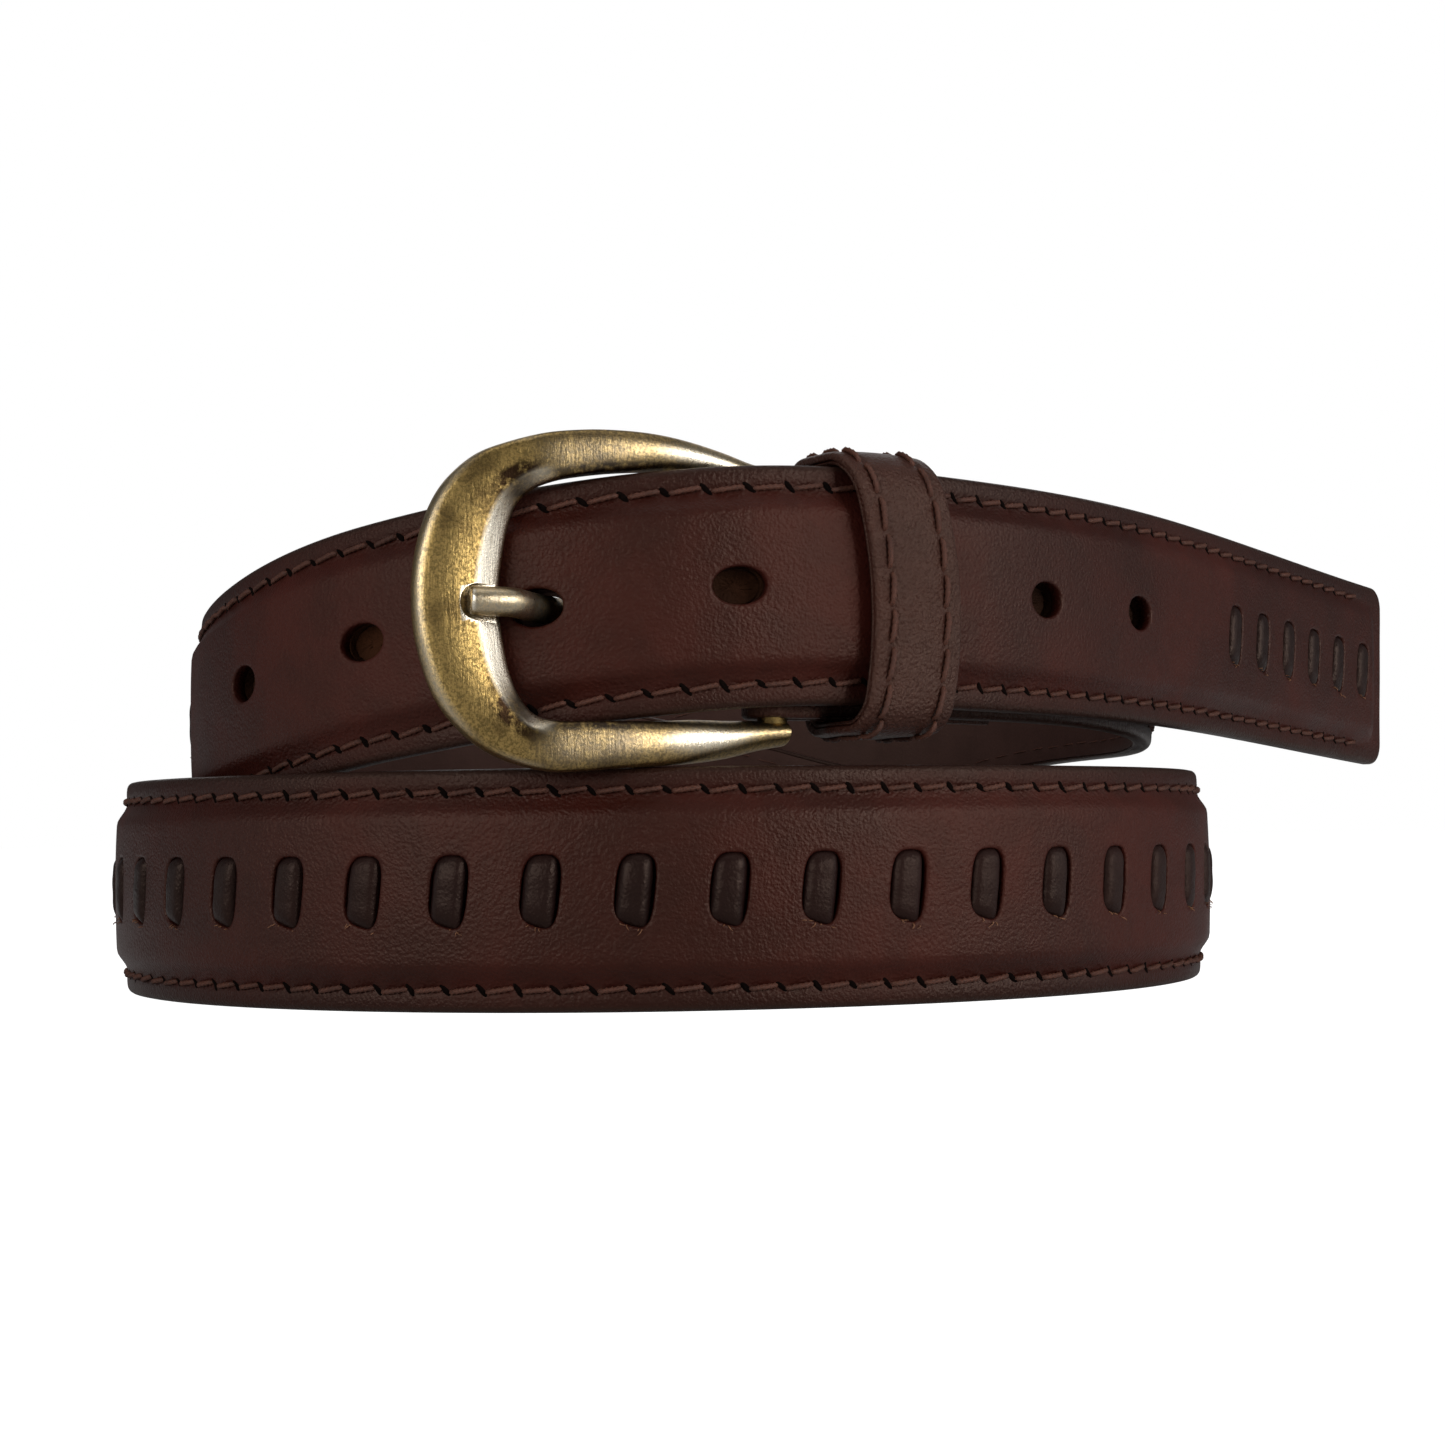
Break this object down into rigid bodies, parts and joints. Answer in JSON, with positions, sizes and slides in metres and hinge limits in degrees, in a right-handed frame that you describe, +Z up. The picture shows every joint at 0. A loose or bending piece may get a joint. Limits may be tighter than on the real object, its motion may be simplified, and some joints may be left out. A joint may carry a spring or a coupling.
{
  "type": "leather belt",
  "caption": "Laced dress belt, buckled and coiled in two turns on its edge, with a horseshoe bow buckle, a prong and a leather keeper.",
  "frame": {"origin": "on the floor below the middle of the coiled belt's bounding box", "axes": "+X to the right along the longest side, -Y towards the viewer and the buckle's face, +Z up, across the strap's width"},
  "size_m": [0.2146, 0.1792, 0.0756],
  "materials": {
    "front_leather": "waxed full grain, semi matte",
    "core_leather": "raw bonded filler",
    "lining_leather": "smooth matte lining",
    "lace_leather": "smooth flat lace",
    "thread": "twisted waxed thread",
    "steel_wire": "plain",
    "antique_brass": "antiqued and brushed"
  },
  "bodies": {
    "strap": {"strap_front": "front_leather", "strap_core": "core_leather", "strap_lining": "lining_leather", "edge_stitch_upper": "thread", "edge_stitch_lower": "thread", "body_lace": "lace_leather", "tip_lace": "lace_leather", "chape_fold": "front_leather", "chape_stitch_near": "thread", "chape_stitch_far": "thread"},
    "keeper": {"keeper_leather": "front_leather", "keeper_lining": "lining_leather", "keeper_stitch_left": "thread", "keeper_stitch_right": "thread", "keeper_staple": "steel_wire"},
    "buckle": {"buckle_frame": "antique_brass", "buckle_bar": "antique_brass"},
    "prong": {"prong": "antique_brass"}
  },
  "joints": [
    {"name": "keeper_slide", "type": "slide", "parent": "strap", "child": "keeper", "axis": [0.861, 0.5086, -0.0034], "range_m": [-0.0015, 0.0015]},
    {"name": "buckle_swing", "type": "hinge", "parent": "strap", "child": "buckle", "pos_m": [-0.00506, -0.06968, 0.05292], "axis": [-0.0035, 0.0553, 0.9985], "range_deg": [-0.35, 0.4]},
    {"name": "prong_pivot", "type": "hinge", "parent": "strap", "child": "prong", "pos_m": [-0.00506, -0.06968, 0.05292], "axis": [-0.0035, 0.0553, 0.9985], "range_deg": [-0.25, 0.5]}
  ]
}
